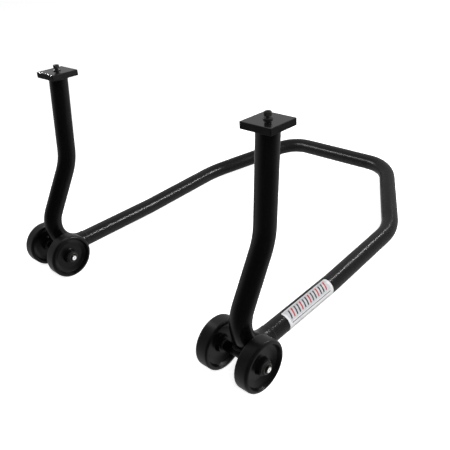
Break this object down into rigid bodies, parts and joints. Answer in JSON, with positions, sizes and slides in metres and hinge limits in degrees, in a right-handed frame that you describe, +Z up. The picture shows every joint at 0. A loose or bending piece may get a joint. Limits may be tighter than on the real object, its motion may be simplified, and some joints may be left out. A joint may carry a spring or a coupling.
{
  "type": "motorcycle paddock stand",
  "caption": "Rear motorcycle paddock stand: U-shaped bent tube frame with a raised handle, bent uprights with square top plates and adapter screws, and wheels on either side of each foot.",
  "frame": {"origin": "on the floor, in the middle of the footprint", "axes": "+X across the stand to its right, as seen from behind the handle looking to the wheels' front; +Y to the rear, from the wheels to the handle; +Z up. The stand rests with its handle down."},
  "size_m": [0.5716, 0.6434, 0.363],
  "materials": {
    "frame_coat": "black powder coat with a fine orange-peel texture, semi-gloss",
    "upright_coat": "smooth black powder coat, semi-gloss",
    "plate_coat": "smooth black coat, glossy",
    "wheel_plastic": "black moulded nylon, satin",
    "blackened_steel": "black oxide, slightly oiled",
    "bright_steel": "bright zinc plate",
    "bush_bronze": "dull sintered bronze",
    "label_film": "white printed vinyl film"
  },
  "bodies": {
    "stand_frame": {"frame_tube": "frame_coat", "label": "label_film", "left_upright": "upright_coat", "left_seam_weld": "upright_coat", "left_top_plate": "plate_coat", "left_plate_weld": "upright_coat", "left_adapter_screw": "blackened_steel", "left_screw_washer": "blackened_steel", "left_axle": "bright_steel", "left_axle_sleeve": "upright_coat", "left_outer_thrust_washer": "blackened_steel", "left_outer_retaining_cap": "blackened_steel", "left_inner_thrust_washer": "blackened_steel", "left_inner_retaining_cap": "blackened_steel", "right_upright": "upright_coat", "right_seam_weld": "upright_coat", "right_top_plate": "plate_coat", "right_plate_weld": "upright_coat", "right_adapter_screw": "blackened_steel", "right_screw_washer": "blackened_steel", "right_axle": "bright_steel", "right_axle_sleeve": "upright_coat", "right_outer_thrust_washer": "blackened_steel", "right_outer_retaining_cap": "blackened_steel", "right_inner_thrust_washer": "blackened_steel", "right_inner_retaining_cap": "blackened_steel"},
    "left_outer_roller": {"left_outer_wheel": "wheel_plastic", "left_outer_bush": "bush_bronze"},
    "left_inner_roller": {"left_inner_wheel": "wheel_plastic", "left_inner_bush": "bush_bronze"},
    "right_outer_roller": {"right_outer_wheel": "wheel_plastic", "right_outer_bush": "bush_bronze"},
    "right_inner_roller": {"right_inner_wheel": "wheel_plastic", "right_inner_bush": "bush_bronze"}
  },
  "joints": [
    {"name": "left_outer_wheel_spin", "type": "hinge", "parent": "stand_frame", "child": "left_outer_roller", "pos_m": [-0.2678, -0.28173, 0.04], "axis": [1, 0, 0], "continuous": true},
    {"name": "left_inner_wheel_spin", "type": "hinge", "parent": "stand_frame", "child": "left_inner_roller", "pos_m": [-0.1938, -0.28173, 0.04], "axis": [1, 0, 0], "continuous": true},
    {"name": "right_outer_wheel_spin", "type": "hinge", "parent": "stand_frame", "child": "right_outer_roller", "pos_m": [0.2678, -0.28173, 0.04], "axis": [1, 0, 0], "continuous": true},
    {"name": "right_inner_wheel_spin", "type": "hinge", "parent": "stand_frame", "child": "right_inner_roller", "pos_m": [0.1938, -0.28173, 0.04], "axis": [1, 0, 0], "continuous": true}
  ]
}
